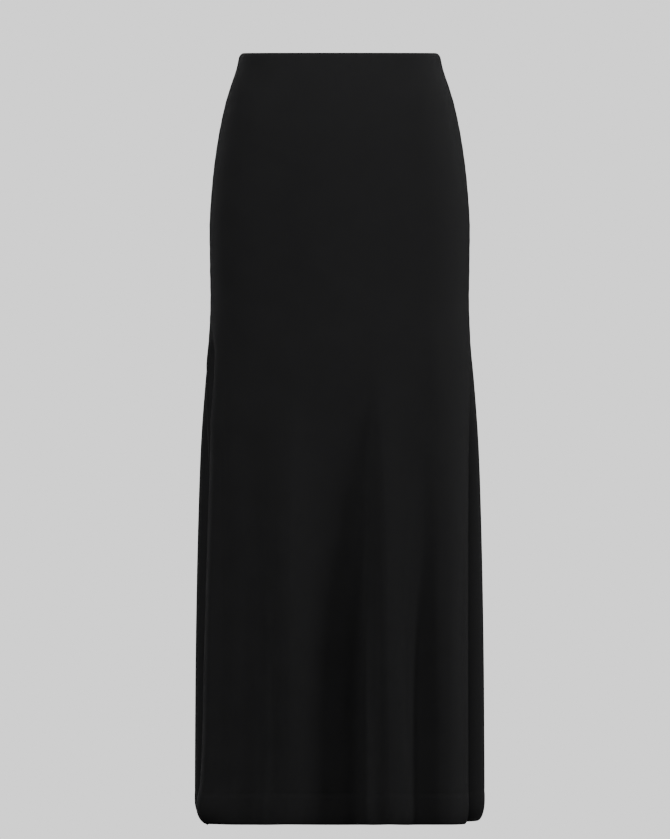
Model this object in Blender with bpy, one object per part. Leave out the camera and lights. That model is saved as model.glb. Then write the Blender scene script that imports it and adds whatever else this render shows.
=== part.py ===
"""A black jersey midi skirt, filled out as if worn: front panel, back panel and inner waistband.

Metres, +Z up. The origin is the middle of the waist, level with the top edge at the sides, and the
front faces -Y. The cloth's outer face is worked out level by level: SECTIONS gives the smooth form,
FLUTES the folds that open towards the hem. Walls and the waistband are that face, moved inwards.
"""
import bmesh
import bpy
import numpy as np

# Cloth
CLOTH = 0.0014            # thickness of the jersey wall
PIECE_GAP = 0.0003        # between the panels at a side seam, and between a panel and the waistband
PANEL_STRIPS = 56         # strips across a panel, from side seam to side seam

# Length, from the top edge to the hem, measured down the side
LENGTH = 0.9449
WAIST_DIP = 0.0056        # the top edge is this much lower at the centre front than at the sides
WAIST_RISE = 0.0026       # and this much higher at the centre back
HEM_TILT = 0.018          # the hem hangs lower towards the back by this share of its depth
HEM_LIFT = 0.30           # and it is lifted where it swings out, by this times the depth squared

# Top edge: the cloth rolls over the waistband in a quarter of an ellipse
TOP_ROLL_IN = 0.0045
TOP_ROLL_DEPTH = 0.0062
TOP_ROLL_STEPS = 4

# Hem: turned up inside, so the wall is twice as thick, and curled in a little along its lower edge
HEM_HEIGHT = 0.037
HEM_STEP = 0.0008
HEM_ROLL_DEPTH = 0.026
HEM_ROLL_IN = 0.0025      # all round, and more at the two sides:
HEM_ROLL_COLUMNS = ("turn", "spread", "inwards")
HEM_ROLLS = (
    (100.0, 30.0, 0.0070),
    (-68.0, 20.0, 0.0135),
    (-113.0, 22.0, 0.0130),
)

# Waistband: elastic in its casing, against the inside of the cloth
WAISTBAND_TOP = 0.0070
WAISTBAND_BOTTOM = 0.0340
WAISTBAND_THICKNESS = 0.0022

# Levels of the wall between the two edges, as drops below the top edge
UPPER_DROPS = (0.020, 0.034, 0.058, 0.085, 0.115, 0.150, 0.190, 0.230, 0.270, 0.310, 0.345)
LOWER_DROPS = (0.375, 0.405, 0.440, 0.480, 0.520, 0.565, 0.615, 0.670, 0.730, 0.790, 0.850)
HEM_DROPS_FROM_END = (0.026, 0.016, 0.008, 0.0035, 0.0010, 0.0)

# The smooth form, level by level: reach of the whole outline to either side, reach of the front's
# roll on the right and on the left, reach to the front and to the back, and the power of the oval
SECTION_COLUMNS = ("drop", "whole", "right", "left", "front", "back", "power")
SECTIONS = (
    (-0.010, 0.1200, 0.1200, 0.1200, 0.0890, 0.0830, 2.10),
    (0.000, 0.1224, 0.1224, 0.1224, 0.0905, 0.0850, 2.10),
    (0.009, 0.1246, 0.1246, 0.1246, 0.0925, 0.0880, 2.12),
    (0.021, 0.1272, 0.1272, 0.1272, 0.0950, 0.0915, 2.14),
    (0.034, 0.1317, 0.1317, 0.1317, 0.0975, 0.0955, 2.16),
    (0.058, 0.1392, 0.1392, 0.1392, 0.1015, 0.1025, 2.20),
    (0.083, 0.1451, 0.1451, 0.1451, 0.1045, 0.1090, 2.20),
    (0.107, 0.1497, 0.1497, 0.1497, 0.1065, 0.1140, 2.20),
    (0.157, 0.1562, 0.1562, 0.1562, 0.1085, 0.1205, 2.20),
    (0.206, 0.1597, 0.1597, 0.1597, 0.1095, 0.1235, 2.20),
    (0.255, 0.1596, 0.1596, 0.1596, 0.1100, 0.1240, 2.20),
    (0.304, 0.1589, 0.1589, 0.1589, 0.1105, 0.1225, 2.20),
    (0.353, 0.1608, 0.1604, 0.1603, 0.1115, 0.1205, 2.18),
    (0.402, 0.1655, 0.1578, 0.1588, 0.1125, 0.1195, 2.15),
    (0.476, 0.1711, 0.1560, 0.1575, 0.1140, 0.1190, 2.10),
    (0.574, 0.1748, 0.1563, 0.1604, 0.1165, 0.1200, 2.05),
    (0.721, 0.1778, 0.1563, 0.1648, 0.1205, 0.1230, 2.00),
    (0.869, 0.1790, 0.1566, 0.1690, 0.1240, 0.1265, 2.00),
    (0.895, 0.1791, 0.1567, 0.1710, 0.1246, 0.1271, 2.00),
    (0.922, 0.1792, 0.1572, 0.1762, 0.1252, 0.1277, 2.00),
    (0.955, 0.1792, 0.1577, 0.1782, 0.1260, 0.1285, 2.00),
)
SIDE_BLEND_START = 68.0   # degrees round from the front where the front's rolls end
SIDE_BLEND_END = 94.0     # and where the outline of the back takes over

# The flutes: place round the waist in degrees from the centre front, towards +X, at its start and at
# the hem; the drops where it starts and is full; height, below zero for a trough; and its width in
# degrees to either side of its place
FLUTE_COLUMNS = ("start_turn", "hem_turn", "start", "full", "height", "before", "after")
FLUTES = (
    (-66.0, -63.0, 0.330, 0.860, 0.0100, 12.0, 8.0),
    (-77.0, -85.0, 0.330, 0.400, -0.0140, 7.5, 7.5),
    (-38.0, -35.0, 0.400, 0.860, -0.0110, 11.0, 12.0),
    (-21.0, -20.0, 0.330, 0.800, 0.0120, 14.0, 14.0),
    (10.0, 11.5, 0.340, 0.860, -0.0420, 31.0, 8.0),
    (18.0, 17.5, 0.330, 0.820, 0.0120, 8.0, 13.0),
    (38.0, 38.0, 0.360, 0.840, -0.0230, 13.5, 9.5),
    (58.0, 52.0, 0.330, 0.800, 0.0050, 14.0, 18.0),
    (88.0, 87.0, 0.320, 0.600, -0.0345, 15.0, 13.5),
    (113.0, 112.0, 0.300, 0.800, 0.0140, 24.0, 24.0),
    (-93.0, -93.0, 0.330, 0.520, -0.0280, 12.0, 12.0),
    (-113.0, -112.0, 0.300, 0.800, 0.0140, 22.0, 22.0),
    (135.0, 138.0, 0.380, 0.880, -0.0220, 14.0, 15.0),
    (157.0, 158.0, 0.380, 0.900, 0.0120, 16.0, 13.0),
    (181.0, 180.0, 0.400, 0.880, -0.0260, 16.0, 14.0),
    (203.0, 204.0, 0.400, 0.900, 0.0110, 16.0, 17.0),
    (226.0, 226.0, 0.400, 0.880, -0.0220, 14.0, 12.0),
)
FLUTE_START_SPREAD = 0.75  # share of its width that a flute has where it starts
FLUTE_SHARPNESS = 1.5

TURN_STEP = 0.5           # degrees either way over which the cloth's direction is taken
DROP_STEP = 0.0003

BLACK_JERSEY = (0.0110, 0.0110, 0.0118, 1.0)
BLACK_ELASTIC = (0.0080, 0.0080, 0.0085, 1.0)


def section_value(column, drop):
    """A column of SECTIONS at any drop, along a smooth curve through its rows."""
    rows = np.array(SECTIONS)
    known = rows[:, SECTION_COLUMNS.index("drop")]
    value = rows[:, SECTION_COLUMNS.index(column)]
    rise = np.diff(value) / np.diff(known)
    slope = np.concatenate([rise[:1], (rise[1:] + rise[:-1]) / 2, rise[-1:]])
    drop = np.clip(drop, known[0], known[-1])
    row = np.clip(np.searchsorted(known, drop, side="right") - 1, 0, len(known) - 2)
    span = known[row + 1] - known[row]
    t = (drop - known[row]) / span
    from_values = value[row] + (value[row + 1] - value[row]) * t * t * (3 - 2 * t)
    from_slopes = slope[row] * t * (1 - t) ** 2 - slope[row + 1] * t * t * (1 - t)
    return from_values + span * from_slopes


def eased(t):
    """0 to 1, flat at both ends."""
    t = np.clip(t, 0.0, 1.0)
    return t * t * (3 - 2 * t)


def turn_away(turn, centre):
    """Degrees from a centre, the short way round."""
    return (turn - centre + 180.0) % 360.0 - 180.0


def flute_height(turn, drop):
    """How far the flutes move the cloth out, or in where it is below zero."""
    total = np.zeros_like(turn)
    for row in FLUTES:
        flute = dict(zip(FLUTE_COLUMNS, row))
        opened = np.clip((drop - flute["start"]) / (flute["full"] - flute["start"]), 0.0, 1.0)
        along = np.clip((drop - flute["start"]) / (LENGTH - flute["start"]), 0.0, 1.0)
        centre = flute["start_turn"] + (flute["hem_turn"] - flute["start_turn"]) * along
        away = turn_away(turn, centre)
        spread = np.where(away < 0, flute["before"], flute["after"])
        spread *= FLUTE_START_SPREAD + (1 - FLUTE_START_SPREAD) * opened
        total += flute["height"] * eased(opened) * np.exp(-((FLUTE_SHARPNESS * away / spread) ** 2))
    return total


def oval(turn, drop):
    """The smooth form's X and Y at each turn, before the flutes."""
    sine, cosine = np.sin(np.radians(turn)), np.cos(np.radians(turn))
    roundness = 2.0 / section_value("power", drop)
    depth = np.where(cosine > 0, section_value("front", drop), section_value("back", drop))
    x = section_value("whole", drop) * np.sign(sine) * np.abs(sine) ** roundness
    y = -depth * np.sign(cosine) * np.abs(cosine) ** roundness
    return np.stack([x, y], axis=-1)


def outward(curve, turn):
    """The level direction square to a curve that runs round the body, pointing out."""
    along = curve(turn + TURN_STEP) - curve(turn - TURN_STEP)
    along /= np.linalg.norm(along, axis=-1, keepdims=True)
    return np.stack([along[:, 1], -along[:, 0]], axis=-1)


def fluted(turn, drop):
    """X and Y with the flutes, before they are let out to the measured reaches."""
    out = outward(lambda at: oval(at, drop), turn)
    return oval(turn, drop) + out * flute_height(turn, drop)[:, None]


def let_out(drop):
    """Scales that bring the widest points at a drop to the reaches in SECTIONS."""
    turn = np.arange(-180.0, 180.0, TURN_STEP)
    x = fluted(turn, drop)[:, 0]
    scales = {}
    for sign, column in ((1, "right"), (-1, "left")):
        front = x[(sign * turn > 0) & (np.abs(turn) <= 90)]
        back = x[(sign * turn > 0) & (np.abs(turn) >= 90)]
        scales[sign] = (
            section_value(column, drop) / np.abs(front).max(),
            section_value("whole", drop) / np.abs(back).max(),
        )
    return scales


def cloth_level(turn, drop, scales):
    """X and Y of the cloth's outer face near the level that the scales are for."""
    turn = turn_away(turn, 0.0)
    side = eased((np.abs(turn) - SIDE_BLEND_START) / (SIDE_BLEND_END - SIDE_BLEND_START))
    point = fluted(turn, drop)
    front = np.where(turn > 0, scales[1][0], scales[-1][0])
    back = np.where(turn > 0, scales[1][1], scales[-1][1])
    point[:, 0] *= front + (back - front) * side
    return point


def quarter_ellipse(t):
    """0 to 1 as t goes from 0 to 1, flat at first and steep at the end."""
    t = np.clip(t, 0.0, 1.0)
    return 1.0 - np.sqrt(1.0 - t * t)


def rolled_in(turn, drop):
    """How far the top edge rolls over the waistband, and the hem's edge curls in."""
    hem_most = HEM_ROLL_IN
    for row in HEM_ROLLS:
        roll = dict(zip(HEM_ROLL_COLUMNS, row))
        away = turn_away(turn, roll["turn"]) / roll["spread"]
        hem_most = hem_most + roll["inwards"] * np.exp(-(away**2))
    top = TOP_ROLL_IN * quarter_ellipse(1 - drop / TOP_ROLL_DEPTH)
    return top + hem_most * quarter_ellipse(1 - (LENGTH - drop) / HEM_ROLL_DEPTH)


def cloth_point(turn, drop, hem, scales):
    """Points of the cloth's outer face at one distance down from the top edge."""
    cosine = np.cos(np.radians(turn))
    top = np.where(cosine > 0, -WAIST_DIP * cosine, -WAIST_RISE * cosine)
    z = top + (hem - top) * drop / LENGTH
    level = cloth_level(turn, -z, scales)
    level -= outward(lambda at: cloth_level(at, -z, scales), turn) * rolled_in(turn, drop)[:, None]
    return np.concatenate([level, z[:, None]], axis=1)


def cloth_face(turn, drops, seam_gap=0.0):
    """Points of the outer face and the directions out of it: a row for each drop.

    Where two neighbouring turns are the same, at a side seam, the gap parts them.
    """
    hem_y = cloth_level(turn, LENGTH, let_out(LENGTH))[:, 1]
    hem = -(LENGTH + HEM_TILT * hem_y - HEM_LIFT * hem_y**2)
    starts = np.isclose(turn, np.roll(turn, 1))
    ends = np.isclose(turn, np.roll(turn, -1))
    part_by = ((starts.astype(float) - ends) * seam_gap / 2)[:, None]
    points, out = [], []
    for drop in drops:
        scales = let_out(drop)
        above, below = max(drop - DROP_STEP, 0.0), min(drop + DROP_STEP, LENGTH)
        down = cloth_point(turn, below, hem, scales) - cloth_point(turn, above, hem, scales)
        round_ = cloth_point(turn + TURN_STEP, drop, hem, scales)
        round_ -= cloth_point(turn - TURN_STEP, drop, hem, scales)
        round_ /= np.linalg.norm(round_, axis=1, keepdims=True)
        points.append(cloth_point(turn, drop, hem, scales) + round_ * part_by)
        square = np.cross(down, round_)
        out.append(square / np.linalg.norm(square, axis=1, keepdims=True))
    return np.array(points), np.array(out)


def stations():
    """Distance below the top edge, and thickness of the wall, from the top edge to the hem."""
    angles = np.linspace(np.pi / 2, 0.0, TOP_ROLL_STEPS + 1)
    drops = list(TOP_ROLL_DEPTH * (1 - np.sin(angles))) + list(UPPER_DROPS + LOWER_DROPS)
    hem_top = LENGTH - HEM_HEIGHT
    single = drops + [hem_top - HEM_STEP]
    double = [hem_top] + [LENGTH - above for above in HEM_DROPS_FROM_END]
    return single + double, [CLOTH] * len(single) + [2 * CLOTH] * len(double)


def make_object(name, bm, material):
    bmesh.ops.recalc_face_normals(bm, faces=bm.faces)
    mesh = bpy.data.meshes.new(name)
    bm.to_mesh(mesh)
    bm.free()
    mesh.materials.append(material)
    mesh.shade_smooth()
    obj = bpy.data.objects.new(name, mesh)
    bpy.context.collection.objects.link(obj)
    return obj


def wall(name, outer, inner, material, closed):
    """A solid between two grids of points: a panel, or a closed ring."""
    bm = bmesh.new()
    out_verts = [[bm.verts.new(p) for p in row] for row in outer]
    in_verts = [[bm.verts.new(p) for p in row] for row in inner]
    rows, columns = len(out_verts), len(out_verts[0])
    strips = columns if closed else columns - 1
    for j in range(strips):
        k = (j + 1) % columns
        for i in range(rows - 1):
            bm.faces.new((out_verts[i][j], out_verts[i][k], out_verts[i + 1][k], out_verts[i + 1][j]))
            bm.faces.new((in_verts[i][k], in_verts[i][j], in_verts[i + 1][j], in_verts[i + 1][k]))
        bm.faces.new((out_verts[0][k], out_verts[0][j], in_verts[0][j], in_verts[0][k]))
        bm.faces.new((out_verts[-1][j], out_verts[-1][k], in_verts[-1][k], in_verts[-1][j]))
    if not closed:
        for j, order in ((0, 1), (columns - 1, -1)):
            for i in range(rows - 1):
                corners = (out_verts[i][j], out_verts[i + 1][j], in_verts[i + 1][j], in_verts[i][j])
                bm.faces.new(corners[::order])
    return make_object(name, bm, material)


def cloth_material(name, colour, roughness, sheen):
    material = bpy.data.materials.new(name)
    material.use_nodes = True
    shader = material.node_tree.nodes["Principled BSDF"]
    shader.inputs["Base Color"].default_value = colour
    shader.inputs["Roughness"].default_value = roughness
    shader.inputs["Metallic"].default_value = 0.0
    shader.inputs["Sheen Weight"].default_value = sheen
    return material


def make_panels(turn, material):
    """The front and the back, each a wall from one side seam to the other."""
    drops, thickness = stations()
    outer, out = cloth_face(turn, drops, PIECE_GAP)
    inner = outer - out * np.array(thickness)[:, None, None]
    half = len(turn) // 2
    wall("front_panel", outer[:, :half], inner[:, :half], material, closed=False)
    wall("back_panel", outer[:, half:], inner[:, half:], material, closed=False)


def make_waistband(turn, material):
    """A closed ring made from the cloth's own points, moved in past the wall."""
    cloth, out = cloth_face(turn, (WAISTBAND_TOP, UPPER_DROPS[0], WAISTBAND_BOTTOM))
    outer = cloth - out * (CLOTH + PIECE_GAP)
    inner = outer - out * WAISTBAND_THICKNESS
    wall("waistband", outer, inner, material, closed=True)


def main():
    for obj in list(bpy.data.objects):
        bpy.data.objects.remove(obj)
    jersey = cloth_material("black_jersey", BLACK_JERSEY, 0.75, 0.4)
    elastic = cloth_material("black_elastic", BLACK_ELASTIC, 0.85, 0.2)
    front = np.linspace(-90.0, 90.0, PANEL_STRIPS + 1)
    back = np.concatenate([front[:-1] + 180.0, [-90.0]])
    make_panels(np.concatenate([front, back]), jersey)
    make_waistband(np.concatenate([front[:-1], back[:-1]]), elastic)


main()
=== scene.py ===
"""The black jersey midi skirt in its finished look: cloth panels, seams, turned-up hem, stitches
and waistband, with the studio that it is pictured in.

Metres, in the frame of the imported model. A turn is a place round the skirt, in degrees from the
centre front towards +X. A drop is a distance below the top edge.
"""

import math

import bpy
import numpy as np
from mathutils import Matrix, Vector

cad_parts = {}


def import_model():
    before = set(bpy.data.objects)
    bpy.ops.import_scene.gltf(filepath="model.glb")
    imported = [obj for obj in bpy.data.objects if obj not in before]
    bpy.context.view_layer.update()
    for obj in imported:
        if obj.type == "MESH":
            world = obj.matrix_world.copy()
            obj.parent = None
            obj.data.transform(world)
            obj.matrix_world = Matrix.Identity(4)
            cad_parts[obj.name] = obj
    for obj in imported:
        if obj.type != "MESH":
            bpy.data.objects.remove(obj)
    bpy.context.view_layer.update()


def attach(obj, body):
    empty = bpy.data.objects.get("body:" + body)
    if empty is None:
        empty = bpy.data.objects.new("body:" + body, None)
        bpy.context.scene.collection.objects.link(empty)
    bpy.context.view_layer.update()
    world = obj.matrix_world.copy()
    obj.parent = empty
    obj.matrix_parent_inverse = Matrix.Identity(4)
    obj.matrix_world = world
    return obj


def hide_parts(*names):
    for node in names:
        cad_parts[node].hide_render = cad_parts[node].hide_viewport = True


# The smooth form and the flutes, as in the solids
LENGTH = 0.9449
WAIST_DIP = 0.0056        # the top edge is this much lower at the centre front than at the sides
WAIST_RISE = 0.0026       # and this much higher at the centre back
HEM_TILT = 0.018          # the hem hangs lower towards the back by this share of its depth
HEM_LIFT = 0.30           # and it is lifted where it swings out, by this times the depth squared
TOP_ROLL_IN = 0.0045      # the top edge rolls over the waistband in a quarter of an ellipse
TOP_ROLL_DEPTH = 0.0062
HEM_ROLL_DEPTH = 0.026    # the hem curls in over this much of its lower edge,
HEM_ROLL_IN = 0.0025      # by this all round, and by more near three turns at the sides
HEM_ROLL_COLUMNS = ("turn", "spread", "inwards")
HEM_ROLLS = (
    (100.0, 30.0, 0.0070),
    (-70.0, 14.0, 0.0135),
    (-113.0, 22.0, 0.0130),
)
SECTION_COLUMNS = ("drop", "whole", "right", "left", "front", "back", "power")
SECTIONS = (
    (-0.010, 0.1200, 0.1200, 0.1200, 0.0890, 0.0830, 2.10),
    (0.000, 0.1224, 0.1224, 0.1224, 0.0905, 0.0850, 2.10),
    (0.009, 0.1246, 0.1246, 0.1246, 0.0925, 0.0880, 2.12),
    (0.021, 0.1272, 0.1272, 0.1272, 0.0950, 0.0915, 2.14),
    (0.034, 0.1317, 0.1317, 0.1317, 0.0975, 0.0955, 2.16),
    (0.058, 0.1392, 0.1392, 0.1392, 0.1015, 0.1025, 2.20),
    (0.083, 0.1451, 0.1451, 0.1451, 0.1045, 0.1090, 2.20),
    (0.107, 0.1497, 0.1497, 0.1497, 0.1065, 0.1140, 2.20),
    (0.157, 0.1562, 0.1562, 0.1562, 0.1085, 0.1205, 2.20),
    (0.206, 0.1597, 0.1597, 0.1597, 0.1095, 0.1235, 2.20),
    (0.255, 0.1596, 0.1596, 0.1596, 0.1100, 0.1240, 2.20),
    (0.304, 0.1589, 0.1589, 0.1589, 0.1105, 0.1225, 2.20),
    (0.353, 0.1608, 0.1604, 0.1603, 0.1115, 0.1205, 2.18),
    (0.402, 0.1655, 0.1578, 0.1588, 0.1125, 0.1195, 2.15),
    (0.476, 0.1711, 0.1560, 0.1575, 0.1140, 0.1190, 2.10),
    (0.574, 0.1748, 0.1563, 0.1604, 0.1165, 0.1200, 2.05),
    (0.721, 0.1778, 0.1563, 0.1648, 0.1205, 0.1230, 2.00),
    (0.869, 0.1790, 0.1566, 0.1690, 0.1240, 0.1265, 2.00),
    (0.895, 0.1791, 0.1567, 0.1710, 0.1246, 0.1271, 2.00),
    (0.922, 0.1792, 0.1572, 0.1762, 0.1252, 0.1277, 2.00),
    (0.955, 0.1792, 0.1577, 0.1782, 0.1260, 0.1285, 2.00),
)
SIDE_BLEND_START = 68.0   # degrees round from the front where the front's rolls end
SIDE_BLEND_END = 94.0     # and where the outline of the back takes over
FLUTE_COLUMNS = ("start_turn", "hem_turn", "start", "full", "height", "before", "after")
FLUTES = (
    (-66.0, -63.0, 0.330, 0.860, 0.0100, 12.0, 8.0),
    (-77.0, -85.0, 0.330, 0.400, -0.0140, 7.5, 7.5),
    (-38.0, -35.0, 0.400, 0.860, -0.0110, 11.0, 12.0),
    (-21.0, -20.0, 0.330, 0.800, 0.0120, 14.0, 14.0),
    (10.0, 11.5, 0.340, 0.860, -0.0420, 31.0, 8.0),
    (18.0, 17.5, 0.330, 0.820, 0.0120, 8.0, 13.0),
    (38.0, 38.0, 0.360, 0.840, -0.0230, 13.5, 9.5),
    (58.0, 52.0, 0.330, 0.800, 0.0050, 14.0, 18.0),
    (88.0, 87.0, 0.320, 0.600, -0.0345, 15.0, 13.5),
    (113.0, 112.0, 0.300, 0.800, 0.0140, 24.0, 24.0),
    (-93.0, -93.0, 0.330, 0.520, -0.0280, 12.0, 12.0),
    (-113.0, -112.0, 0.300, 0.800, 0.0140, 22.0, 22.0),
    (135.0, 138.0, 0.380, 0.880, -0.0220, 14.0, 15.0),
    (157.0, 158.0, 0.380, 0.900, 0.0120, 16.0, 13.0),
    (181.0, 180.0, 0.400, 0.880, -0.0260, 16.0, 14.0),
    (203.0, 204.0, 0.400, 0.900, 0.0110, 16.0, 17.0),
    (226.0, 226.0, 0.400, 0.880, -0.0220, 14.0, 12.0),
)
FLUTE_START_SPREAD = 0.75  # share of its width that a flute has where it starts
FLUTE_SHARPNESS = 1.5
TURN_STEP = 0.5           # degrees either way over which the cloth's direction is taken
DROP_STEP = 0.0003

# Small creases that the solids leave out: from one turn and drop to another, height, and half width
CREASE_COLUMNS = ("turn", "drop", "end_turn", "end_drop", "height", "width")
CREASES = (
    (-70.0, 0.060, -22.0, 0.105, 0.0007, 0.011),
    (-58.0, 0.125, -12.0, 0.150, -0.0006, 0.013),
    (68.0, 0.055, 25.0, 0.098, -0.0007, 0.012),
    (74.0, 0.115, 38.0, 0.160, 0.0007, 0.014),
    (-30.0, 0.300, -16.0, 0.420, 0.0008, 0.016),
    (14.0, 0.250, 20.0, 0.400, 0.0008, 0.016),
    (40.0, 0.290, 46.0, 0.440, 0.0008, 0.015),
    (-52.0, 0.330, -50.0, 0.620, 0.0012, 0.012),
    (-20.5, 0.330, -20.0, 0.930, 0.0016, 0.016),
    (16.0, 0.440, 17.0, 1.000, -0.0018, 0.011),
    (33.0, 0.500, 32.5, 1.000, -0.0014, 0.011),
    (44.0, 0.460, 44.0, 0.900, -0.0010, 0.010),
    (66.0, 0.480, 64.0, 0.880, -0.0010, 0.011),
    (100.0, 0.140, 150.0, 0.180, 0.0008, 0.014),
    (170.0, 0.215, 200.0, 0.235, -0.0008, 0.016),
    (252.0, 0.125, 212.0, 0.175, 0.0008, 0.014),
    (147.0, 0.480, 148.0, 0.900, 0.0012, 0.012),
    (170.0, 0.450, 169.0, 0.880, -0.0012, 0.012),
    (214.0, 0.460, 215.0, 0.900, 0.0012, 0.012),
    (238.0, 0.480, 240.0, 0.860, 0.0012, 0.012),
)
CREASE_MISS = 1.5         # degrees past a panel's edge at which a crease is the other panel's
CREASE_FADE = 2.2         # it comes to its height over 1 part in this of its length, at each end

# The waves of a ripple: length and start as shares of the main wave's, and height
RIPPLE_WAVES = ((1.0, 1.0, 0.5), (3.7, 2.1, 0.3), (0.61, 1.3, 0.2))

# Cloth. Where a ripple varies something, its start is the place in the wave, in radians.
CLOTH = 0.0009            # thickness of the jersey
FOLD_RADIUS = 0.0010      # of the cloth's face where it turns over an edge
FOLD_STEPS = 6            # rows of points round such a turn
RELIEF_FADE = 0.012       # creases and grooves die out over this drop at the top edge
HEM_HEIGHT = 0.0352       # the lower hem stitch row is this far above the hem's edge
HEM_ALLOWANCE = 0.042     # cloth turned up inside
HEM_SWELL = 0.0002        # the doubled hem stands out by this much
HEM_SWELL_RISE = 0.006    # and comes to that over this drop
HEM_GROOVE = 0.00014      # how far the stitch rows pull the cloth in
HEM_GROOVE_WIDTH = 0.0014
HEM_PULL_RIPPLE = 0.5     # share by which that pull varies
HEM_PULL_LENGTH = 0.011
HEM_PULL_START = 0.4
SEAM_GROOVE = 0.0008      # how far the side seam pulls the cloth in
SEAM_GROOVE_WIDTH = 0.0022
SEAM_PUCKER = 0.0003
SEAM_PUCKER_LENGTH = 0.019
SEAM_PUCKER_START = 0.7
SEAM_PUCKER_REACH = 0.012
PANEL_GAP = 0.0002        # between the two panels where they meet at a seam

# Columns of points in a panel, in degrees from its middle or from its seams
PANEL_REACH = 90.0
PANEL_COLUMNS = 176       # evenly spaced ones
PANEL_INSET = 2.0         # from a seam to the first of these
SEAM_TURNS = (0.0, 0.3, 0.6, 1.0, 1.5)

# Rows of points in a panel
TOP_ROLL_ROWS = 8
TOP_ROLL_CLEAR = 0.003    # from the rolled top edge to the first evenly spaced row
ROW_STEP = 0.0048
STITCH_CLEAR = 0.004      # the fine rows start and end this far from the hem's stitch rows
STITCH_ROW_STEP = 0.0009
LOWER_ROWS = 6            # from there to the hem's curl
HEM_CURL_ROWS = 11
TURN_UP_ROWS = ((0.002, 0.012, 4), (0.018, HEM_ALLOWANCE, 5))  # above the edge: from, to, count
TAIL_ROWS = 5             # of the cloth turned in at the top
TAIL_TOP = 0.0022         # drop of the highest of these

# Waistband: elastic in a folded strip of jersey, with the panels' top edge turned over it
BAND_TOP = 0.0066
BAND_BOTTOM = 0.0340
BAND_OUTSIDE = 0.0017     # inwards from the cloth's face
BAND_THICKNESS = 0.0022
BAND_PUCKER = 0.00035
BAND_PUCKER_EDGE = 0.4    # share of that at the band's upper and lower edge
BAND_PUCKER_RISE = 0.004  # and it is whole this far from the edge
BAND_PUCKERS = 118        # all round
BAND_CROWDINGS = 17       # times all round that the puckers draw together
BAND_CROWDING = 1.8
BAND_COLUMNS = 480
BAND_STRAIGHT_ROWS = 12
BAND_TURN_ROWS = 7
BAND_WELD = 0.00001
TOP_TAIL = 0.0100         # cloth turned down inside the waistband
TAIL_INSIDE = 0.0051      # inwards from the cloth's face

# Thread
STITCH_LENGTH = 0.0025
STITCH_PITCH = 0.0031
STITCH_RADIUS = 0.00024
STITCH_SINK = 0.00008
STITCH_SIDES = 6
# A stitch's rings of points: place along it, thickness, and how many radii it sinks there
STITCH_RINGS = (
    (-0.5, 0.25, 1.3),
    (-0.3, 0.9, 0.35),
    (0.0, 1.0, 0.0),
    (0.3, 0.9, 0.35),
    (0.5, 0.25, 1.3),
)
STITCH_ROW_POINTS = 720   # along which a row of stitches is laid
HEM_ROW_GAP = 0.0032      # between the two rows of a narrow twin needle
ZIGZAG_HALF = 0.0012      # half of its height
ZIGZAG_PITCH = 0.0022
ZIGZAG_ABOVE = 0.0018     # its distance above the edge of the turned-in cloth

# Side seam allowances: both panels' edges overlocked together and pressed to the back
ALLOWANCE_WIDTH = 0.0100
ALLOWANCE_THICKNESS = 0.0016
ALLOWANCE_INSET = 0.0013
ALLOWANCE_TOP = 0.036
ALLOWANCE_CLEAR = 0.002   # above the turned-up hem
ALLOWANCE_REACH = 12.0    # degrees from the seam that are sure to take in its width
ALLOWANCE_COLUMNS = 6
ALLOWANCE_ROWS = 150
ALLOWANCE_LIFT = 0.0003   # its free edge stands off the panel by this
ALLOWANCE_RIPPLE = 0.0004
ALLOWANCE_RIPPLE_LENGTH = 0.045
ALLOWANCE_RIPPLE_START = 0.9

# Knit, in metres along the cloth
WALE = 0.0013
COURSE = 0.0011
WALE_WANDER = 0.0012      # how far the wales stray
LOOP_SHARE = 0.35         # the loops' height as a share of the wales'
ELASTIC_RIB = 0.0016

# Colours
JERSEY_DEEP = "#171718"
JERSEY_WORN = "#1f1f20"
JERSEY_SHEEN = "#e8e8ea"
ELASTIC_DEEP = "#101011"
ELASTIC_WORN = "#1b1b1c"
THREAD_DEEP = "#0f0f10"
THREAD_WORN = "#1c1c1d"
STUDIO_GREY = "#fafafa"

# Studio: a round pale floor that curves up into its wall
STUDIO_BRIGHTNESS = 1.40
STUDIO_RADIUS = 9.0
STUDIO_FLOOR = -1.20
STUDIO_CENTRE = 0.001     # radius of the floor's innermost ring
STUDIO_CORNER = 2.0
STUDIO_CORNER_STEPS = 8
STUDIO_TOP = 6.0
STUDIO_SIDES = 96

# Soft boxes: turn round the skirt, height, distance, width, tallness (metres) and power (watts)
LIGHT_COLUMNS = ("name", "turn", "height", "distance", "width", "tall", "power")
LIGHTS = (
    ("front", -14.0, 1.35, 3.2, 1.6, 1.2, 65.0),
    ("overhead", 0.0, 3.2, 1.2, 2.0, 2.0, 43.0),
    ("left_side", -62.0, 0.1, 2.6, 0.5, 1.9, 12.5),
    ("right_front", 54.0, 0.1, 2.6, 0.6, 1.9, 7.0),
    ("right_side", 80.0, 0.1, 2.6, 0.5, 1.9, 25.0),
    ("right_behind", 122.0, 0.1, 2.6, 0.7, 1.9, 8.5),
    ("behind", 180.0, 1.35, 3.2, 1.2, 1.2, 30.0),
)
LIGHT_TARGET = (0.0, 0.0, -0.42)
AMBIENT = 0.01

# Camera: as far and as long as needed for the photograph's framing
CAMERA_PLACE = (-0.00576, -6.5, -0.4500)
SENSOR_WIDTH = 36.0
METRES_PER_PIXEL = 0.001228
FRAME_HEIGHT = 839


def srgb(code):
    """An sRGB hex colour as the linear colour that the shaders take."""
    channels = [int(code[i:i + 2], 16) / 255 for i in (1, 3, 5)]
    linear = [c / 12.92 if c <= 0.04045 else ((c + 0.055) / 1.055) ** 2.4 for c in channels]
    return (*linear, 1.0)


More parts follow.
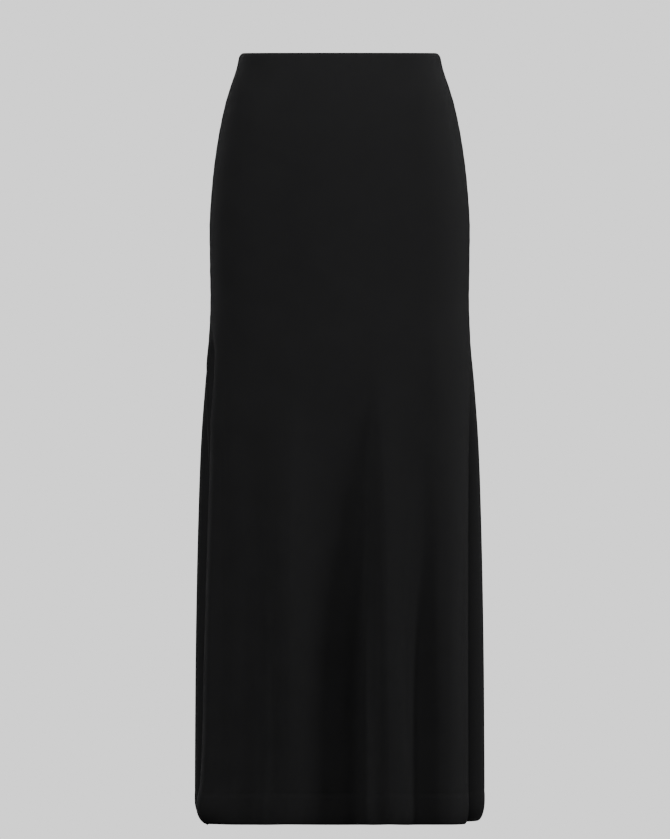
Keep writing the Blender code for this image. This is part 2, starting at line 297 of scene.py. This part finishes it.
def section_value(column, drop):
    """A column of SECTIONS at any drop, along a smooth curve through its rows."""
    rows = np.array(SECTIONS)
    known = rows[:, SECTION_COLUMNS.index("drop")]
    value = rows[:, SECTION_COLUMNS.index(column)]
    rise = np.diff(value) / np.diff(known)
    slope = np.concatenate([rise[:1], (rise[1:] + rise[:-1]) / 2, rise[-1:]])
    drop = np.clip(drop, known[0], known[-1])
    row = np.clip(np.searchsorted(known, drop, side="right") - 1, 0, len(known) - 2)
    span = known[row + 1] - known[row]
    t = (drop - known[row]) / span
    from_values = value[row] + (value[row + 1] - value[row]) * t * t * (3 - 2 * t)
    from_slopes = slope[row] * t * (1 - t) ** 2 - slope[row + 1] * t * t * (1 - t)
    return from_values + span * from_slopes


def eased(t):
    """0 to 1, flat at both ends."""
    t = np.clip(t, 0.0, 1.0)
    return t * t * (3 - 2 * t)


def turn_away(turn, centre):
    """Degrees from a centre, the short way round."""
    return (turn - centre + 180.0) % 360.0 - 180.0


def flute_height(turn, drop):
    """How far the flutes move the cloth out, or in where it is below zero."""
    total = np.zeros(np.broadcast(turn, drop).shape)
    for row in FLUTES:
        flute = dict(zip(FLUTE_COLUMNS, row))
        opened = np.clip((drop - flute["start"]) / (flute["full"] - flute["start"]), 0.0, 1.0)
        along = np.clip((drop - flute["start"]) / (LENGTH - flute["start"]), 0.0, 1.0)
        centre = flute["start_turn"] + (flute["hem_turn"] - flute["start_turn"]) * along
        away = turn_away(turn, centre)
        spread = np.where(away < 0, flute["before"], flute["after"])
        spread = spread * (FLUTE_START_SPREAD + (1 - FLUTE_START_SPREAD) * opened)
        total += flute["height"] * eased(opened) * np.exp(-((FLUTE_SHARPNESS * away / spread) ** 2))
    return total


def oval(turn, drop):
    """The smooth form's X and Y at each turn, before the flutes."""
    sine, cosine = np.sin(np.radians(turn)), np.cos(np.radians(turn))
    roundness = 2.0 / section_value("power", drop)
    depth = np.where(cosine > 0, section_value("front", drop), section_value("back", drop))
    x = section_value("whole", drop) * np.sign(sine) * np.abs(sine) ** roundness
    y = -depth * np.sign(cosine) * np.abs(cosine) ** roundness
    return np.stack([x, y], axis=-1)


def unit(vectors):
    """The same directions, each one long."""
    return vectors / np.linalg.norm(vectors, axis=-1, keepdims=True)


def outward(curve, turn):
    """The level direction square to a curve that runs round the body, pointing out."""
    along = unit(curve(turn + TURN_STEP) - curve(turn - TURN_STEP))
    return np.stack([along[..., 1], -along[..., 0]], axis=-1)


def fluted(turn, drop):
    """X and Y with the flutes, before they are let out to the measured reaches."""
    out = outward(lambda at: oval(at, drop), turn)
    return oval(turn, drop) + out * flute_height(turn, drop)[..., None]


def let_out(drop):
    """Scales that bring the widest points at each drop to the reaches in SECTIONS."""
    turn = np.arange(-180.0, 180.0, TURN_STEP)
    x = fluted(turn, drop)[..., 0]
    scales = {}
    for sign, column in ((1, "right"), (-1, "left")):
        front = x[:, (sign * turn > 0) & (np.abs(turn) <= 90)]
        back = x[:, (sign * turn > 0) & (np.abs(turn) >= 90)]
        scales[sign] = (
            section_value(column, drop) / np.abs(front).max(axis=1, keepdims=True),
            section_value("whole", drop) / np.abs(back).max(axis=1, keepdims=True),
        )
    return scales


def cloth_level(turn, drop, scales):
    """X and Y of the cloth's outer face near the levels that the scales are for."""
    turn = turn_away(turn, 0.0)
    side = eased((np.abs(turn) - SIDE_BLEND_START) / (SIDE_BLEND_END - SIDE_BLEND_START))
    point = fluted(turn, drop)
    front = np.where(turn > 0, scales[1][0], scales[-1][0])
    back = np.where(turn > 0, scales[1][1], scales[-1][1])
    point[..., 0] *= front + (back - front) * side
    return point


def quarter_ellipse(t):
    """0 to 1 as t goes from 0 to 1, flat at first and steep at the end."""
    t = np.clip(t, 0.0, 1.0)
    return 1.0 - np.sqrt(1.0 - t * t)


def rolled_in(turn, drop):
    """How far the top edge rolls over the waistband, and the hem's edge curls in."""
    hem_most = HEM_ROLL_IN
    for row in HEM_ROLLS:
        roll = dict(zip(HEM_ROLL_COLUMNS, row))
        away = turn_away(turn, roll["turn"]) / roll["spread"]
        hem_most = hem_most + roll["inwards"] * np.exp(-(away**2))
    top = TOP_ROLL_IN * quarter_ellipse(1 - drop / TOP_ROLL_DEPTH)
    return top + hem_most * quarter_ellipse(1 - (LENGTH - drop) / HEM_ROLL_DEPTH)


def height_at(turn, drop, hem):
    """Z of the cloth at a drop: level at the hem's own heights, dipped at the waist."""
    cosine = np.cos(np.radians(turn))
    top = np.where(cosine > 0, -WAIST_DIP * cosine, -WAIST_RISE * cosine)
    return top + (hem - top) * drop / LENGTH


def cloth_point(turn, drop, hem, scales, rolled=True):
    """Points of the cloth's outer face: a row for each drop, a column for each turn."""
    z = height_at(turn, drop, hem)
    level = cloth_level(turn, -z, scales)
    if rolled:
        out = outward(lambda at: cloth_level(at, -z, scales), turn)
        level -= out * rolled_in(turn, drop)[..., None]
    return np.concatenate([level, z[..., None]], axis=-1)


def hem_heights(turn):
    """Z of the hem's edge at each turn."""
    end = np.array([[LENGTH]])
    hem_y = cloth_level(turn, end, let_out(end))[0, :, 1]
    return -(LENGTH + HEM_TILT * hem_y - HEM_LIFT * hem_y**2)


def cloth_face(turn, drops):
    """Points of the outer face, and the directions round it and out of it: a row for each drop."""
    drop = np.array(drops)[:, None]
    above, below = np.maximum(drop - DROP_STEP, 0.0), np.minimum(drop + DROP_STEP, LENGTH)
    hem = hem_heights(turn)
    scales = let_out(drop)
    down = cloth_point(turn, below, hem, scales) - cloth_point(turn, above, hem, scales)
    along = cloth_point(turn + TURN_STEP, drop, hem, scales)
    along = unit(along - cloth_point(turn - TURN_STEP, drop, hem, scales))
    return cloth_point(turn, drop, hem, scales), along, unit(np.cross(down, along))


def face_within(turn, drops, inwards):
    """Points level with the face at the waist but this far inside it, and the level way out there."""
    drop = np.array(drops)[:, None]
    scales = let_out(drop)
    points = cloth_point(turn, drop, hem_heights(turn), scales, rolled=False)
    level = outward(lambda at: cloth_level(at, drop, scales), turn)
    out = np.concatenate([level, np.zeros_like(level[..., :1])], axis=-1)
    return points - out * inwards[..., None], out


def lengths_round(points):
    """Distance along each row of points, from its middle column."""
    steps = np.linalg.norm(np.diff(points, axis=1), axis=2)
    total = np.concatenate([np.zeros((len(points), 1)), np.cumsum(steps, axis=1)], axis=1)
    return total - total[:, total.shape[1] // 2, None]


def crease_height(turn, drops, lengths):
    """Relief of the small creases on a grid of places, in the cloth's own lengths."""
    total = np.zeros_like(lengths)
    for row in CREASES:
        crease = dict(zip(CREASE_COLUMNS, row))
        if np.abs(turn_away(turn, crease["turn"])).min() > CREASE_MISS:
            continue
        ends = []
        for end in ("", "end_"):
            i = int(np.abs(drops - crease[end + "drop"]).argmin())
            j = int(np.abs(turn_away(turn, crease[end + "turn"])).argmin())
            ends.append(np.array([lengths[i, j], drops[i]]))
        line = ends[1] - ends[0]
        far = lengths - ends[0][0], drops[:, None] - ends[0][1]
        share = (far[0] * line[0] + far[1] * line[1]) / (line @ line)
        across = (far[0] * line[1] - far[1] * line[0]) / np.linalg.norm(line)
        fade = eased(CREASE_FADE * share) * eased(CREASE_FADE * (1 - share))
        total += crease["height"] * fade * np.exp(-((across / crease["width"]) ** 2))
    return total


def ripple(lengths, wave, start):
    """Uneven small waves, from -1 to 1, that repeat nowhere in the skirt's length."""
    return sum(
        height * np.sin(math.tau * lengths / (wave * longer) + later * start)
        for longer, later, height in RIPPLE_WAVES
    )


def seam_relief(to_seam, drops):
    """The side seam's groove with its small puckers."""
    groove = -SEAM_GROOVE * np.exp(-((to_seam / SEAM_GROOVE_WIDTH) ** 2))
    waves = ripple(drops, SEAM_PUCKER_LENGTH, SEAM_PUCKER_START)[:, None]
    return groove + SEAM_PUCKER * waves * np.exp(-to_seam / SEAM_PUCKER_REACH)


def hem_relief(lengths, drops):
    """The two grooves of the hem's stitch rows, and the fuller cloth below them."""
    above_edge = (LENGTH - drops)[:, None]
    swell = HEM_SWELL * eased((HEM_HEIGHT + HEM_ROW_GAP - above_edge) / HEM_SWELL_RISE)
    groove = sum(
        np.exp(-(((above_edge - row) / HEM_GROOVE_WIDTH) ** 2))
        for row in (HEM_HEIGHT, HEM_HEIGHT + HEM_ROW_GAP)
    )
    pull = 1 + HEM_PULL_RIPPLE * ripple(lengths, HEM_PULL_LENGTH, HEM_PULL_START)
    return swell - HEM_GROOVE * groove * pull


def panel_turns(centre):
    """Turns of a panel's columns, closer together next to the seams."""
    seam = np.array(SEAM_TURNS)
    inner_reach = PANEL_REACH - PANEL_INSET
    inner = np.linspace(-inner_reach, inner_reach, PANEL_COLUMNS)
    return centre + np.concatenate([-PANEL_REACH + seam, inner, PANEL_REACH - seam[::-1]])


def panel_drops():
    """Drops of a panel's rows, closer together at the rolled edges and at the hem's stitches."""
    top = TOP_ROLL_DEPTH * (1 - np.cos(np.linspace(0.0, np.pi / 2, TOP_ROLL_ROWS)))
    stitch_top = LENGTH - HEM_HEIGHT - HEM_ROW_GAP - STITCH_CLEAR
    stitch_end = LENGTH - HEM_HEIGHT + STITCH_CLEAR
    body = np.arange(TOP_ROLL_DEPTH + TOP_ROLL_CLEAR, stitch_top - ROW_STEP / 2, ROW_STEP)
    stitched = np.arange(stitch_top, stitch_end, STITCH_ROW_STEP)
    curl = LENGTH - HEM_ROLL_DEPTH * (1 - np.sin(np.linspace(0.0, np.pi / 2, HEM_CURL_ROWS)))
    lower = np.linspace(stitch_end, curl[0], LOWER_ROWS)[:-1]
    return np.concatenate([top, body, stitched, lower, curl])


def turned_edge(edge, out, away):
    """Rows that carry the cloth's face round a fold, from its edge to the far side."""
    centre = edge - out * FOLD_RADIUS
    angles = np.linspace(0.0, np.pi, FOLD_STEPS + 1)[1:]
    return [centre + FOLD_RADIUS * (math.cos(a) * out + math.sin(a) * away) for a in angles]


def panel_rows(turn):
    """A panel's face from the cloth turned in at the top, over the outside, to the hem turned up.

    It returns the grid of points and, for each row, how far down the cut it lies.
    """
    drops = panel_drops()
    face, along, out = cloth_face(turn, drops)
    lengths = lengths_round(face)
    to_seam = np.minimum(lengths - lengths[:, :1], lengths[:, -1:] - lengths)
    relief = crease_height(turn, drops, lengths) + seam_relief(to_seam, drops)
    relief += hem_relief(lengths, drops)
    relief *= eased(drops / RELIEF_FADE)[:, None]
    face = face + out * relief[:, :, None]
    face[:, 0] += along[:, 0] * PANEL_GAP / 2
    face[:, -1] -= along[:, -1] * PANEL_GAP / 2

    hem_down = np.cross(along[-1], out[-1])
    fold = turned_edge(face[-1], out[-1], hem_down)
    turned = []
    for back_up in np.concatenate([np.linspace(*run) for run in TURN_UP_ROWS]):
        row = int(np.abs(drops - (LENGTH - back_up)).argmin())
        turned.append(face[row] - out[row] * (2 * FOLD_RADIUS + relief[row][:, None]))

    tail_drops = np.linspace(TOP_TAIL, TAIL_TOP, TAIL_ROWS)
    tail = face_within(turn, tail_drops, np.full((TAIL_ROWS, 1), TAIL_INSIDE))[0]
    over = turned_edge(face[0], out[0], -np.cross(along[0], out[0]))[:FOLD_STEPS // 2]
    rows = list(tail) + over[::-1] + list(face) + fold + turned
    steps = [np.linalg.norm(b - a, axis=1).mean() for a, b in zip(rows[:-1], rows[1:])]
    return np.array(rows), np.concatenate([[0.0], np.cumsum(steps)])


def grid_mesh(name, points, across, down, material, closed=False):
    """A mesh through a grid of points, with the cloth's own lengths in metres as its UV map."""
    rows, columns = points.shape[:2]
    wraps = columns if closed else columns - 1
    faces, places = [], []
    for i in range(rows - 1):
        for j in range(wraps):
            k = (j + 1) % columns
            upper, lower = i * columns, (i + 1) * columns
            faces.append((upper + j, lower + j, lower + k, upper + k))
            places += [(i, j), (i + 1, j), (i + 1, j + 1), (i, j + 1)]
    mesh = bpy.data.meshes.new(name)
    mesh.from_pydata(points.reshape(-1, 3).tolist(), [], faces)
    layer = mesh.uv_layers.new(name="cloth")
    places = np.array(places)
    uv = np.stack([across[places[:, 0], places[:, 1]], down[places[:, 0]]], axis=1)
    layer.data.foreach_set("uv", uv.astype(np.float32).ravel())
    mesh.materials.append(material)
    mesh.shade_smooth()
    piece = bpy.data.objects.new(name, mesh)
    bpy.context.scene.collection.objects.link(piece)
    return piece


def apply_modifiers(piece):
    bpy.ops.object.select_all(action="DESELECT")
    bpy.context.view_layer.objects.active = piece
    piece.select_set(True)
    for modifier in list(piece.modifiers):
        bpy.ops.object.modifier_apply(modifier=modifier.name)
    piece.select_set(False)


def thicken(piece, thickness):
    """Gives a sheet its thickness, behind the face that was laid out."""
    solidify = piece.modifiers.new("thickness", "SOLIDIFY")
    solidify.thickness = thickness
    solidify.offset = -1.0
    apply_modifiers(piece)


def make_panel(name, centre, material):
    """One panel: a single sheet of jersey, turned in over the waistband and turned up at the hem."""
    turn = panel_turns(centre)
    rows, down = panel_rows(turn)
    panel = grid_mesh(name, rows, lengths_round(rows), down, material)
    thicken(panel, CLOTH)
    return panel


def band_section():
    """The waistband's rounded section: distances inwards from the cloth's face, and drops."""
    half = BAND_THICKNESS / 2
    middle = BAND_OUTSIDE + half
    top, bottom = BAND_TOP + half, BAND_BOTTOM - half
    straight = np.linspace(0.0, 1.0, BAND_STRAIGHT_ROWS)
    turn_over = np.linspace(0.0, np.pi, BAND_TURN_ROWS)[1:-1]
    inside = [(middle + half, top + (bottom - top) * s) for s in straight]
    under = [(middle + half * math.cos(a), bottom + half * math.sin(a)) for a in turn_over]
    outside = [(middle - half, bottom + (top - bottom) * s) for s in straight]
    over = [(middle - half * math.cos(a), top - half * math.sin(a)) for a in turn_over]
    return inside + under + outside + over


def make_waistband(material):
    """A closed ring of elastic in its strip, puckered a little on the side of the body."""
    turn = np.linspace(-180.0, 180.0, BAND_COLUMNS, endpoint=False)
    section = band_section()
    inwards, drops = np.array(section + section[:1]).T
    inner_side = eased((inwards - BAND_OUTSIDE) / BAND_THICKNESS)
    from_top = eased((drops - BAND_TOP) / BAND_PUCKER_RISE)
    from_bottom = eased((BAND_BOTTOM - drops) / BAND_PUCKER_RISE)
    share = BAND_PUCKER_EDGE + (1 - BAND_PUCKER_EDGE) * (from_top * from_bottom)
    crowding = BAND_CROWDING * np.sin(np.radians(turn) * BAND_CROWDINGS)
    wave = np.sin(np.radians(turn) * BAND_PUCKERS + crowding)
    pucker = BAND_PUCKER * (inner_side * share)[:, None] * wave
    rows = face_within(turn, drops, inwards[:, None] + pucker)[0][::-1]
    across = np.concatenate([rows, rows[:, :1]], axis=1)
    steps = [np.linalg.norm(b - a, axis=1).mean() for a, b in zip(rows[:-1], rows[1:])]
    down = np.concatenate([[0.0], np.cumsum(steps)])
    band = grid_mesh("waistband_elastic", rows, lengths_round(across), down, material, closed=True)
    weld = band.modifiers.new("closed section", "WELD")
    weld.merge_threshold = BAND_WELD
    apply_modifiers(band)
    return band


def stitch_rings(direction, out, length, radius):
    """A stitch as rings of points about its middle: a thread that dips at both ends."""
    side = np.cross(direction, out)
    rings = []
    for along, thick, sink in STITCH_RINGS:
        middle = direction * along * length - out * sink * radius
        for k in range(STITCH_SIDES):
            a = math.tau * k / STITCH_SIDES
            rings.append(middle + radius * thick * (math.cos(a) * side + math.sin(a) * out))
    return rings


def stitch_mesh(name, stitches, material):
    """All the stitches of a row as one piece, each a thread of a few rings with closed ends."""
    last_ring = STITCH_SIDES * (len(STITCH_RINGS) - 1)
    points, faces = [], []
    for middle, direction, out in stitches:
        first = len(points)
        points += [middle + p for p in stitch_rings(direction, out, STITCH_LENGTH, STITCH_RADIUS)]
        for a in range(first, first + last_ring, STITCH_SIDES):
            b = a + STITCH_SIDES
            for k in range(STITCH_SIDES):
                n = (k + 1) % STITCH_SIDES
                faces.append((a + k, b + k, b + n, a + n))
        faces.append(tuple(first + k for k in range(STITCH_SIDES)))
        faces.append(tuple(first + last_ring + k for k in reversed(range(STITCH_SIDES))))
    mesh = bpy.data.meshes.new(name)
    mesh.from_pydata([tuple(p) for p in points], [], faces)
    mesh.materials.append(material)
    mesh.shade_smooth()
    piece = bpy.data.objects.new(name, mesh)
    bpy.context.scene.collection.objects.link(piece)
    return piece


def places_round(points, along, out, pitch):
    """Evenly spaced places on a closed row of points, with the directions there."""
    closed = np.concatenate([points, points[:1]])
    steps = np.linalg.norm(np.diff(closed, axis=0), axis=1)
    reached = np.concatenate([[0.0], np.cumsum(steps)])
    count = int(reached[-1] / pitch)
    at = (np.arange(count) + 0.5) * reached[-1] / count
    places = []
    for values in (points, along, out):
        ring = np.concatenate([values, values[:1]])
        places.append(np.stack([np.interp(at, reached, ring[:, c]) for c in range(3)], axis=1))
    return list(zip(*places))


def make_hem_stitches(material):
    """Two rows of a twin needle all round the skirt, over the edge of the turned-up hem."""
    turn = np.linspace(-180.0, 180.0, STITCH_ROW_POINTS, endpoint=False)
    rows = LENGTH - np.array([HEM_HEIGHT + HEM_ROW_GAP, HEM_HEIGHT])
    face, along, out = cloth_face(turn, rows)
    face = face + out * (hem_relief(lengths_round(face), rows) - STITCH_SINK)[:, :, None]
    stitches = []
    for k in range(2):
        stitches += places_round(face[k], along[k], out[k], STITCH_PITCH)
    return stitch_mesh("hem_stitches", stitches, material)


def make_waist_stitches(material):
    """A zigzag inside, that holds the turned-in top edge to the waistband."""
    turn = np.linspace(-180.0, 180.0, STITCH_ROW_POINTS, endpoint=False)
    inside = np.full((1, 1), TAIL_INSIDE - STITCH_SINK)
    points, out = face_within(turn, [TOP_TAIL - ZIGZAG_ABOVE], inside)
    points, inwards = points[0], -out[0]
    along = unit(np.roll(points, -1, axis=0) - np.roll(points, 1, axis=0))
    stitches = []
    for k, (middle, direction, out) in enumerate(places_round(points, along, inwards, ZIGZAG_PITCH)):
        tilt = 1 if k % 2 else -1
        slanted = direction + np.array([0.0, 0.0, tilt * ZIGZAG_HALF / (ZIGZAG_PITCH / 2)])
        stitches.append((middle, slanted / np.linalg.norm(slanted), out))
    return stitch_mesh("waist_stitches", stitches, material)


def make_allowance(name, turn, towards_back, material):
    """The seam's overlocked edges inside, pressed flat towards the back."""
    bottom = LENGTH - HEM_ALLOWANCE - ALLOWANCE_CLEAR
    drops = np.linspace(ALLOWANCE_TOP, bottom, ALLOWANCE_ROWS)
    share = np.linspace(0.0, 1.0, ALLOWANCE_COLUMNS)
    at = turn + towards_back * share * ALLOWANCE_REACH
    face, along, out = cloth_face(at, drops)
    reached = lengths_round(face)
    reached = np.abs(reached - reached[:, :1])
    wanted = share * ALLOWANCE_WIDTH
    strip, facing = np.empty_like(face), np.empty_like(face)
    for i in range(len(drops)):
        for c in range(3):
            strip[i, :, c] = np.interp(wanted, reached[i], face[i, :, c])
            facing[i, :, c] = np.interp(wanted, reached[i], out[i, :, c])
    waves = ripple(drops, ALLOWANCE_RIPPLE_LENGTH, ALLOWANCE_RIPPLE_START)[:, None]
    lift = ALLOWANCE_RIPPLE * waves * share + ALLOWANCE_LIFT * share
    inset = CLOTH + ALLOWANCE_INSET + lift
    strip -= facing * inset[:, :, None]
    if towards_back < 0:
        strip = strip[:, ::-1]
    across = np.tile(wanted, (len(drops), 1))
    piece = grid_mesh(name, strip[:, ::-1], across, drops, material)
    thicken(piece, ALLOWANCE_THICKNESS)
    return piece


def add_node(tree, kind, settings=None, inputs=None):
    """Adds a shader node, sets it, and links or sets its inputs by name or number."""
    node = tree.nodes.new(kind)
    for name, value in (settings or {}).items():
        setattr(node, name, value)
    for name, value in (inputs or {}).items():
        if isinstance(value, bpy.types.NodeSocket):
            tree.links.new(value, node.inputs[name])
        else:
            node.inputs[name].default_value = value
    return node


def math_node(tree, operation, *values):
    """The result of a math node with these inputs."""
    node = add_node(tree, "ShaderNodeMath", {"operation": operation}, dict(enumerate(values)))
    return node.outputs[0]


def noise_node(tree, place, scale, detail):
    """Noise from 0 to 1, with about as many waves to a metre as its scale."""
    inputs = {"Vector": place, "Scale": scale, "Detail": detail}
    return add_node(tree, "ShaderNodeTexNoise", inputs=inputs).outputs["Fac"]


def ramp_node(tree, value, start, end):
    """A colour that goes from one hex code to another; start and end are a value and its code."""
    node = add_node(tree, "ShaderNodeValToRGB", inputs={"Fac": value})
    for i, (position, code) in enumerate((start, end)):
        node.color_ramp.elements[i].position = position
        node.color_ramp.elements[i].color = srgb(code)
    return node.outputs["Color"]


def bump_node(tree, strength, distance, height):
    """The normal of a relief that is this deep."""
    inputs = {"Strength": strength, "Distance": distance, "Height": height}
    return add_node(tree, "ShaderNodeBump", inputs=inputs).outputs["Normal"]


def new_material(name):
    material = bpy.data.materials.new(name)
    material.use_nodes = True
    tree = material.node_tree
    return material, tree, tree.nodes["Principled BSDF"]


def knit_relief(tree):
    """A plain knit of slanting loops: places in the cloth, how far down they are, and the height."""
    uv = add_node(tree, "ShaderNodeUVMap", {"uv_map": "cloth"}).outputs[0]
    across, down = add_node(tree, "ShaderNodeSeparateXYZ", inputs={0: uv}).outputs[:2]
    wander = noise_node(tree, uv, 60.0, 2.0)
    strayed = math_node(tree, "MULTIPLY_ADD", wander, WALE_WANDER, across)
    wales = math_node(tree, "DIVIDE", strayed, WALE)
    leg = math_node(tree, "PINGPONG", wales, 0.5)
    courses = math_node(tree, "DIVIDE", down, COURSE)
    slanted = math_node(tree, "ADD", courses, leg)
    loop = math_node(tree, "SINE", math_node(tree, "MULTIPLY", slanted, math.tau))
    column = math_node(tree, "SINE", math_node(tree, "MULTIPLY", leg, math.tau))
    height = math_node(tree, "MULTIPLY_ADD", loop, LOOP_SHARE, column)
    return uv, down, height


def viscose_jersey():
    """Black viscose jersey with some elastane: matt, deep, with a thin soft sheen on turned edges.

    The real wales are 0.7 mm apart; they are drawn 1.3 mm apart so that the render can show them.
    """
    material, tree, shader = new_material("viscose_jersey_black")
    uv, _, knit = knit_relief(tree)
    fibre = noise_node(tree, uv, 520.0, 3.0)
    cloud = noise_node(tree, uv, 26.0, 4.0)
    mixed = add_node(tree, "ShaderNodeMix", inputs={0: 0.4, 2: cloud, 3: fibre}).outputs[0]
    shade = ramp_node(tree, mixed, (0.30, JERSEY_DEEP), (0.70, JERSEY_WORN))
    spread = {"Value": mixed, "From Min": 0.3, "From Max": 0.7, "To Min": 0.74, "To Max": 0.86}
    rough = add_node(tree, "ShaderNodeMapRange", inputs=spread).outputs[0]
    fuzz = math_node(tree, "MULTIPLY_ADD", fibre, 0.8, knit)
    bump = bump_node(tree, 0.55, 0.00022, fuzz)
    tree.links.new(shade, shader.inputs["Base Color"])
    tree.links.new(rough, shader.inputs["Roughness"])
    tree.links.new(bump, shader.inputs["Normal"])
    shader.inputs["Specular IOR Level"].default_value = 0.22
    shader.inputs["Sheen Weight"].default_value = 0.08
    shader.inputs["Sheen Roughness"].default_value = 0.28
    shader.inputs["Sheen Tint"].default_value = srgb(JERSEY_SHEEN)
    return material


def elastic_jersey():
    """The same jersey stretched over ribbed elastic: fine level ribs 1.6 mm apart, a shade darker."""
    material, tree, shader = new_material("elastic_jersey_black")
    uv, down, knit = knit_relief(tree)
    rib = math_node(tree, "SINE", math_node(tree, "MULTIPLY", down, math.tau / ELASTIC_RIB))
    relief = math_node(tree, "MULTIPLY_ADD", rib, 0.9, knit)
    cloud = noise_node(tree, uv, 90.0, 3.0)
    shade = ramp_node(tree, cloud, (0.30, ELASTIC_DEEP), (0.75, ELASTIC_WORN))
    bump = bump_node(tree, 0.6, 0.0003, relief)
    tree.links.new(shade, shader.inputs["Base Color"])
    tree.links.new(bump, shader.inputs["Normal"])
    shader.inputs["Roughness"].default_value = 0.82
    shader.inputs["Specular IOR Level"].default_value = 0.2
    shader.inputs["Sheen Weight"].default_value = 0.04
    return material


def polyester_thread():
    """Spun polyester thread: two plies twisted every 0.6 mm, a little glossier than the jersey."""
    material, tree, shader = new_material("polyester_thread_black")
    place = add_node(tree, "ShaderNodeTexCoord").outputs["Object"]
    plies = {"Vector": place, "Scale": 520.0, "Distortion": 1.5, "Detail": 1.0}
    twist = add_node(tree, "ShaderNodeTexWave", {"bands_direction": "DIAGONAL"}, plies).outputs["Fac"]
    shade = ramp_node(tree, twist, (0.0, THREAD_DEEP), (1.0, THREAD_WORN))
    bump = bump_node(tree, 0.4, 0.0001, twist)
    tree.links.new(shade, shader.inputs["Base Color"])
    tree.links.new(bump, shader.inputs["Normal"])
    shader.inputs["Roughness"].default_value = 0.65
    shader.inputs["Specular IOR Level"].default_value = 0.25
    return material


def studio_paper():
    """Pale seamless paper, evenly lit, so that it shows as one flat grey."""
    material, tree, shader = new_material("studio_paper")
    place = add_node(tree, "ShaderNodeTexCoord").outputs["Object"]
    speck = noise_node(tree, place, 3.0, 2.0)
    bump = add_node(tree, "ShaderNodeBump", inputs={"Strength": 0.02, "Height": speck})
    tree.links.new(bump.outputs["Normal"], shader.inputs["Normal"])
    shader.inputs["Base Color"].default_value = (0.0, 0.0, 0.0, 1.0)
    shader.inputs["Specular IOR Level"].default_value = 0.0
    shader.inputs["Emission Color"].default_value = srgb(STUDIO_GREY)
    shader.inputs["Emission Strength"].default_value = STUDIO_BRIGHTNESS
    return material


def make_studio():
    """A round floor that curves up into a wall all round, open at the top."""
    profile = [(STUDIO_CENTRE, STUDIO_FLOOR), (STUDIO_RADIUS - STUDIO_CORNER, STUDIO_FLOOR)]
    for k in range(1, STUDIO_CORNER_STEPS + 1):
        a = math.pi / 2 * k / STUDIO_CORNER_STEPS
        radius = STUDIO_RADIUS - STUDIO_CORNER * (1 - math.sin(a))
        profile.append((radius, STUDIO_FLOOR + STUDIO_CORNER * (1 - math.cos(a))))
    profile.append((STUDIO_RADIUS, STUDIO_TOP))
    turn = np.linspace(0.0, math.tau, STUDIO_SIDES, endpoint=False)
    circle = [(math.sin(a), -math.cos(a)) for a in turn]
    points = np.array([[(r * x, r * y, z) for x, y in circle] for r, z in profile])
    across = np.tile(np.linspace(0.0, 1.0, STUDIO_SIDES + 1), (len(profile), 1))
    up = np.arange(len(profile)) * 1.0
    paper = grid_mesh("studio", points[::-1], across, up, studio_paper(), closed=True)
    paper.visible_diffuse = False
    paper.visible_glossy = False


def make_lights():
    """Large soft boxes: the strongest in front, one overhead, one behind, and narrow ones beside."""
    for row in LIGHTS:
        box = dict(zip(LIGHT_COLUMNS, row))
        lamp = bpy.data.lights.new(box["name"], "AREA")
        lamp.shape = "RECTANGLE"
        lamp.size = box["width"]
        lamp.size_y = box["tall"]
        lamp.energy = box["power"]
        light = bpy.data.objects.new(box["name"], lamp)
        a = math.radians(box["turn"])
        across, back = box["distance"] * math.sin(a), -box["distance"] * math.cos(a)
        light.location = (across, back, box["height"])
        aim = Vector(LIGHT_TARGET) - light.location
        light.rotation_euler = aim.to_track_quat("-Z", "Y").to_euler()
        light.visible_camera = False
        bpy.context.scene.collection.objects.link(light)
    world = bpy.data.worlds.new("studio_air")
    world.use_nodes = True
    air = world.node_tree.nodes["Background"]
    air.inputs["Color"].default_value = srgb(STUDIO_GREY)
    air.inputs["Strength"].default_value = AMBIENT
    bpy.context.scene.world = world


def make_camera():
    camera = bpy.data.cameras.new("camera")
    camera.sensor_width = SENSOR_WIDTH
    camera.lens = SENSOR_WIDTH * -CAMERA_PLACE[1] / (FRAME_HEIGHT * METRES_PER_PIXEL)
    view = bpy.data.objects.new("camera", camera)
    view.location = CAMERA_PLACE
    view.rotation_euler = (math.radians(90.0), 0.0, 0.0)
    bpy.context.scene.collection.objects.link(view)
    bpy.context.scene.camera = view


def main():
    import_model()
    bpy.ops.object.select_all(action="DESELECT")
    make_camera()
    make_lights()
    make_studio()

    jersey = viscose_jersey()
    elastic = elastic_jersey()
    thread = polyester_thread()
    front = make_panel("front_panel_cloth", 0.0, jersey)
    back = make_panel("back_panel_cloth", 180.0, jersey)
    band = make_waistband(elastic)
    hem_stitches = make_hem_stitches(thread)
    waist_stitches = make_waist_stitches(thread)
    right_allowance = make_allowance("right_seam_allowance", 90.0, 1, jersey)
    left_allowance = make_allowance("left_seam_allowance", -90.0, -1, jersey)

    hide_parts("front_panel")
    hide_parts("back_panel")
    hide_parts("waistband")
    for piece in (front, back, band, hem_stitches, waist_stitches, right_allowance, left_allowance):
        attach(piece, "root")


main()
